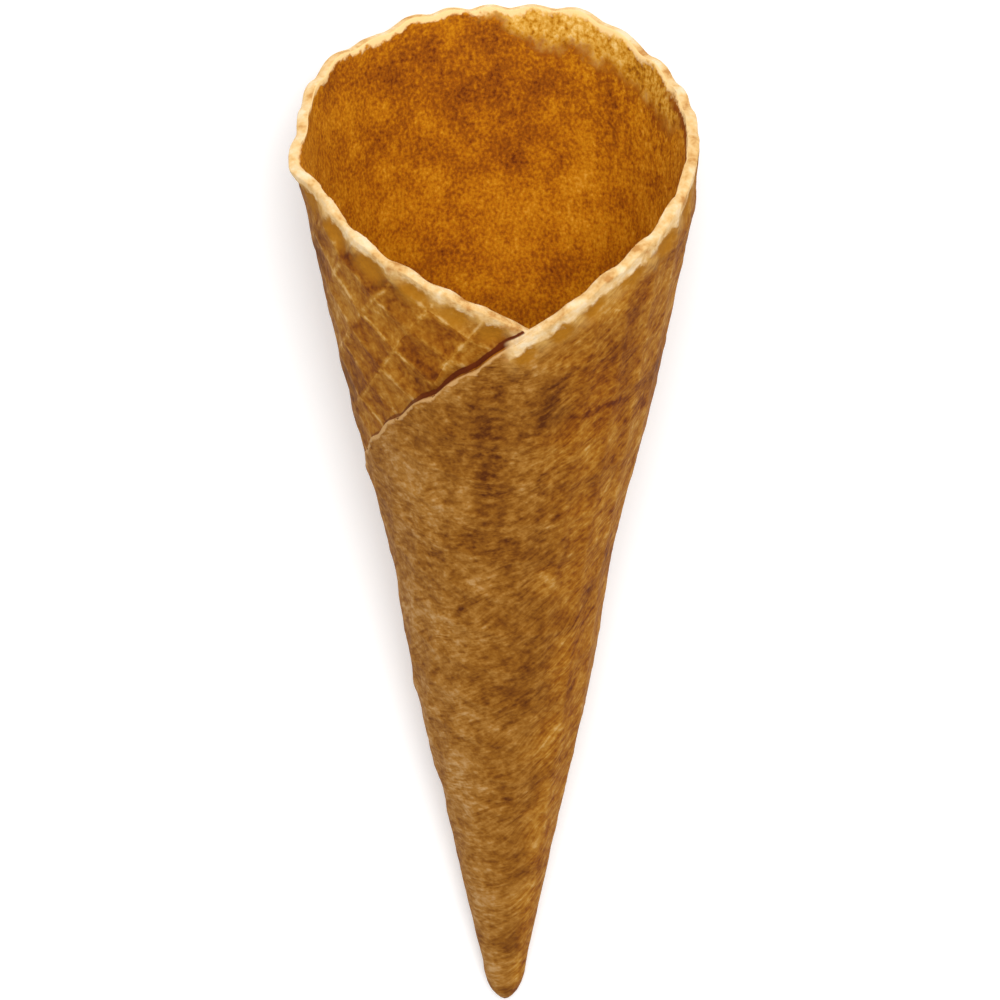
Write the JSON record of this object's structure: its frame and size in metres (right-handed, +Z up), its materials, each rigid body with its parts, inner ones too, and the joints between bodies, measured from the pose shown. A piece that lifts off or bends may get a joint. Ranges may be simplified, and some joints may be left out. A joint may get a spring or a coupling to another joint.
{
  "type": "rolled waffle cone",
  "caption": "Empty rolled waffle ice cream cone with a pressed grid, a lapped seam, an uneven scalloped rim and a blunt closed tip, lying on its side.",
  "frame": {"origin": "middle of the underside of the bounding box, on the surface the cone lies on", "axes": "+Y along the line the cone rests on, from its tip towards its mouth; +Z up, towards the lapped seam; +X to the right, seen from above with the mouth at the top"},
  "size_m": [0.0618, 0.163, 0.0535],
  "materials": {
    "waffle": "matt baked waffle, golden brown, with a paler cut edge and an orange-brown inside"
  },
  "bodies": {
    "root": {"waffle_cone": "waffle"}
  },
  "joints": []
}
